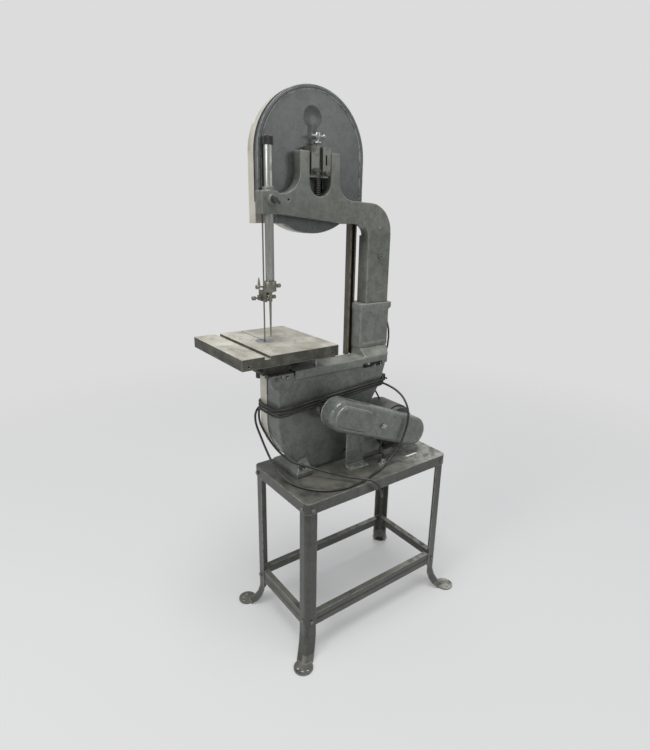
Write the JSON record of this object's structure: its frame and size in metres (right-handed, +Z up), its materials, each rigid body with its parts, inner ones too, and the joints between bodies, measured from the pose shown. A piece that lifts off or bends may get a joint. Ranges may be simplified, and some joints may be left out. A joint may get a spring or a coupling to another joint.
{
  "type": "band saw",
  "caption": "Floor-standing band saw: cast C-frame with riser, enclosed wheels, tilting square table, sliding blade guide, belt drive and motor on a sheet-steel stand.",
  "frame": {"origin": "centre of the rectangle of the stand's four outer foot bolt holes, on the floor", "axes": "+Z up; -Y towards the operator; +X towards the blade and table, -X towards the column"},
  "size_m": [0.8767, 0.5377, 1.8814],
  "materials": {
    "grey_casting": "worn grey-green gloss enamel",
    "grey_sheet": "grey-green enamel on sheet steel",
    "cream_cover": "aged cream enamel",
    "brown_guard": "bronze-brown worn enamel",
    "table_iron": "ground, worn, patinated",
    "dark_iron": "oily, black",
    "bright_steel": "satin",
    "chrome_steel": "bright plated, worn",
    "post_steel": "drawn bar, satin",
    "guide_bronze": "plated, dulled",
    "blade_steel": "rolled strip",
    "black_knob": "black moulding",
    "rubber": "black rubber",
    "tire_rubber": "dusty brown rubber",
    "cord_black": "black flexible cord",
    "motor_paint": "grimy dark grey"
  },
  "bodies": {
    "frame": {"stand_top": "grey_sheet", "leg_front_left": "grey_sheet", "leg_front_right": "grey_sheet", "leg_back_left": "grey_sheet", "leg_back_right": "grey_sheet", "stand_rails": "grey_sheet", "stand_bolts": "bright_steel", "lower_frame": "grey_casting", "frame_bolts": "bright_steel", "riser_block": "grey_casting", "upper_arm": "grey_casting", "lower_door": "cream_cover", "upper_guard": "grey_sheet", "hinge_pins": "bright_steel", "column_blade_guard": "brown_guard", "lower_bearings": "bright_steel", "blade": "blade_steel", "trunnion_bracket": "dark_iron", "table_stop_screw": "bright_steel", "lower_guide": "guide_bronze", "belt_guard_back": "grey_sheet", "belt_guard_cover": "grey_sheet", "belt_guard_bracket": "grey_sheet", "v_belt": "rubber", "motor_body": "motor_paint", "switch_box": "dark_iron", "wiring": "cord_black", "cord_gland": "chrome_steel", "cord_lead": "cord_black", "cord_winding": "cord_black", "cord_loop": "cord_black", "cord_plug": "black_knob"},
    "table": {"table": "table_iron", "table_insert": "bright_steel", "trunnions": "dark_iron"},
    "guide_post": {"guide_post": "post_steel", "post_cap": "black_knob", "guide_bracket": "guide_bronze", "guide_screws": "guide_bronze"},
    "thrust_wheel": {"thrust_wheel": "bright_steel"},
    "post_clamp": {"post_clamp_screw": "dark_iron"},
    "tension_screw": {"tension_screw": "chrome_steel"},
    "slide": {"slide_bracket": "dark_iron", "upper_shaft": "bright_steel", "tension_spring": "dark_iron"},
    "tracking_screw": {"tracking_screw": "dark_iron"},
    "upper_wheel": {"upper_wheel": "grey_casting", "upper_tire": "tire_rubber", "upper_bearings": "bright_steel"},
    "lower_wheel": {"lower_wheel": "grey_casting", "lower_tire": "tire_rubber", "lower_shaft": "bright_steel", "driven_pulley": "dark_iron"},
    "motor_shaft": {"motor_pulley": "dark_iron"},
    "upper_door": {"upper_door": "cream_cover", "hinge_leaves": "bright_steel"},
    "lower_door_knob": {"lower_door_knob": "black_knob"},
    "belt_guard_nut": {"belt_guard_nut": "bright_steel"},
    "switch": {"switch_toggle": "chrome_steel"},
    "trunnion_knob": {"trunnion_knob": "black_knob"}
  },
  "joints": [
    {"name": "table_tilt", "type": "hinge", "parent": "frame", "child": "table", "pos_m": [0.304, -0.121, 1.09], "axis": [0, 1, 0], "range_deg": [0, 45]},
    {"name": "guide_post_slide", "type": "slide", "parent": "frame", "child": "guide_post", "axis": [0, 0, 1], "range_m": [-0.02, 0.19]},
    {"name": "thrust_wheel_spin", "type": "hinge", "parent": "guide_post", "child": "thrust_wheel", "pos_m": [0.304, -0.10395, 1.242], "axis": [1, 0, 0], "continuous": true},
    {"name": "post_clamp_turn", "type": "hinge", "parent": "frame", "child": "post_clamp", "pos_m": [0.304, -0.0658, 1.54], "axis": [0, 1, 0], "range_deg": [0, 720]},
    {"name": "tension_screw_turn", "type": "hinge", "parent": "frame", "child": "tension_screw", "pos_m": [0.126, -0.076, 1.6], "axis": [0, 0, 1], "range_deg": [-2880, 0]},
    {"name": "upper_wheel_slide", "type": "slide", "parent": "frame", "child": "slide", "axis": [0, 0, 1], "range_m": [-0.012, 0], "deforming": ["tension_spring"]},
    {"name": "tracking_screw_turn", "type": "hinge", "parent": "slide", "child": "tracking_screw", "pos_m": [0.148, -0.052, 1.63], "axis": [0, 1, 0], "range_deg": [-360, 360]},
    {"name": "upper_wheel_spin", "type": "hinge", "parent": "slide", "child": "upper_wheel", "pos_m": [0.126, -0.121, 1.65], "axis": [0, 1, 0], "continuous": true},
    {"name": "lower_wheel_spin", "type": "hinge", "parent": "frame", "child": "lower_wheel", "pos_m": [0.126, -0.121, 0.846], "axis": [0, 1, 0], "continuous": true},
    {"name": "motor_spin", "type": "hinge", "parent": "frame", "child": "motor_shaft", "pos_m": [-0.222, 0.06, 0.705], "axis": [0, 1, 0], "continuous": true},
    {"name": "upper_door_swing", "type": "hinge", "parent": "frame", "child": "upper_door", "pos_m": [-0.088, -0.124, 1.6], "axis": [0, 0, -1], "range_deg": [0, 110]},
    {"name": "lower_door_knob_turn", "type": "hinge", "parent": "frame", "child": "lower_door_knob", "pos_m": [0.284, -0.15, 0.79], "axis": [0, 1, 0], "range_deg": [0, 90]},
    {"name": "belt_guard_nut_turn", "type": "hinge", "parent": "frame", "child": "belt_guard_nut", "pos_m": [-0.048, 0.11, 0.7755], "axis": [0, 1, 0], "range_deg": [-1080, 0]},
    {"name": "switch_flip", "type": "hinge", "parent": "frame", "child": "switch", "pos_m": [-0.145, -0.152, 1.126], "axis": [1, 0, 0], "range_deg": [-14, 14]},
    {"name": "trunnion_knob_turn", "type": "hinge", "parent": "frame", "child": "trunnion_knob", "pos_m": [0.304, -0.16, 0.97], "axis": [0, 0, 1], "range_deg": [0, 180]}
  ],
  "couplings": [
    {"joint": "tension_screw_turn", "follows": "upper_wheel_slide", "rad_per_m": 4188.8},
    {"joint": "upper_wheel_spin", "follows": "lower_wheel_spin", "ratio": 1},
    {"joint": "motor_spin", "follows": "lower_wheel_spin", "ratio": 1.7692}
  ]
}
